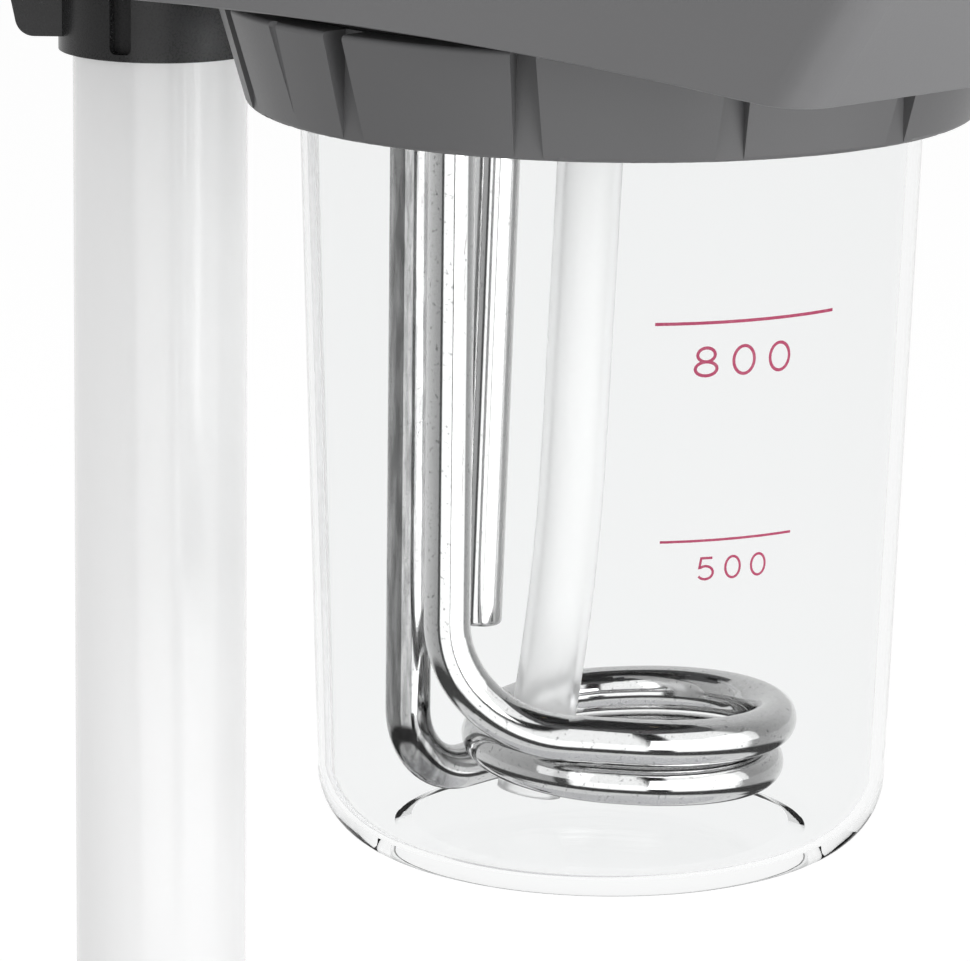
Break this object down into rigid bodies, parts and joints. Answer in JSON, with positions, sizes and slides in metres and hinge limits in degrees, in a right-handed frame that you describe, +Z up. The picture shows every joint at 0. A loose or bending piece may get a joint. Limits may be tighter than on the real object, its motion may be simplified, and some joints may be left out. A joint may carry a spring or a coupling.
{
  "type": "bench water distiller",
  "caption": "Bench water distiller: a grey head on a telescopic column, with a clear glass boiling jar hung from it round an immersed heater, fan-cooled condenser and outlet spout.",
  "frame": {"origin": "centre of the foot's rectangle, on the surface that the rubber feet stand on", "axes": "+Z up, -Y towards the control panel at the front, +X towards the outlet spout"},
  "size_m": [0.204, 0.296, 0.4565],
  "materials": {
    "cover_grey": "fine satin",
    "dark_grey": "satin",
    "base_white": "fine satin",
    "white_enamel": "gloss",
    "polished_steel": "polished",
    "turned_steel": "turned",
    "plated_steel": "zinc plated",
    "steel_plate": "plain",
    "nylon": "plain",
    "silicone": "matte",
    "black_rubber": "matte",
    "clear_glass": "clear",
    "milky_tube": "translucent",
    "white_ceramic": "plain",
    "black_plastic": "satin",
    "lamp_amber": "clear",
    "board_green": "plain",
    "aluminium_tube": "satin"
  },
  "bodies": {
    "stand": {"base_cover": "base_white", "base_plate": "steel_plate", "rubber_feet": "black_rubber", "base_screws": "plated_steel", "column_socket": "steel_plate", "socket_screws": "plated_steel", "column_trim": "dark_grey", "outer_column": "white_enamel", "column_bush": "nylon", "clamp_collar": "dark_grey", "clamp_screw": "plated_steel"},
    "clamp": {"clamp_knob": "black_plastic"},
    "jar": {"glass_jar": "clear_glass"},
    "ring": {"ring_nut": "dark_grey"},
    "heat_dial": {"heat_knob": "black_plastic"},
    "timer_dial": {"timer_knob": "black_plastic"},
    "rocker": {"power_rocker": "black_plastic"},
    "cap": {"filler_cap": "dark_grey"},
    "impeller": {"fan_impeller": "black_plastic"},
    "head": {"inner_pole": "turned_steel", "pole_bush": "nylon", "pole_socket": "turned_steel", "pole_screws": "plated_steel", "head_lower_shell": "cover_grey", "head_upper_cover": "cover_grey", "head_screws": "plated_steel", "boiler_flange": "dark_grey", "flange_screws": "plated_steel", "flange_gasket": "silicone", "heater_coil": "polished_steel", "heater_glands": "turned_steel", "heater_terminals": "white_ceramic", "temperature_probe": "polished_steel", "probe_gland": "turned_steel", "thermal_cutout": "black_plastic", "fill_elbow": "nylon", "dip_tube": "milky_tube", "fill_hose": "silicone", "filler_neck": "nylon", "relief_valve": "turned_steel", "condenser_coil": "polished_steel", "distillate_spout": "polished_steel", "fan_frame": "black_plastic", "fan_guard": "black_plastic", "control_panel": "dark_grey", "heat_regulator": "black_plastic", "run_timer": "black_plastic", "indicator_lamps": "lamp_amber", "rocker_bezel": "black_plastic", "control_board": "board_green", "mains_inlet": "black_plastic"}
  },
  "joints": [
    {"name": "head_height", "type": "slide", "parent": "stand", "child": "head", "axis": [0, 0, 1], "range_m": [0, 0.09]},
    {"name": "clamp_turn", "type": "hinge", "parent": "stand", "child": "clamp", "pos_m": [-0.01626, 0.12426, 0.3285], "axis": [-0.7071, -0.7071, 0], "range_deg": [0, 180]},
    {"name": "jar_drop", "type": "slide", "parent": "head", "child": "jar", "axis": [0, 0, -1], "range_m": [0, 0.15]},
    {"name": "ring_turn", "type": "hinge", "parent": "jar", "child": "ring", "pos_m": [0, -0.01, 0.318], "axis": [0, 0, -1], "range_deg": [0, 90]},
    {"name": "heat_turn", "type": "hinge", "parent": "head", "child": "heat_dial", "pos_m": [-0.036, -0.11269, 0.40241], "axis": [0, 0.7071, -0.7071], "range_deg": [0, 270]},
    {"name": "timer_turn", "type": "hinge", "parent": "head", "child": "timer_dial", "pos_m": [0.036, -0.11269, 0.40241], "axis": [0, 0.7071, -0.7071], "range_deg": [0, 300]},
    {"name": "rocker_tip", "type": "hinge", "parent": "head", "child": "rocker", "pos_m": [0, -0.12654, 0.3894], "axis": [0, 0.7071, 0.7071], "range_deg": [-14, 0]},
    {"name": "cap_lift", "type": "slide", "parent": "head", "child": "cap", "axis": [0, 0, 1], "range_m": [0, 0.04]},
    {"name": "fan_spin", "type": "hinge", "parent": "head", "child": "impeller", "pos_m": [0, 0.018, 0.43], "axis": [0, 0, 1], "continuous": true}
  ]
}
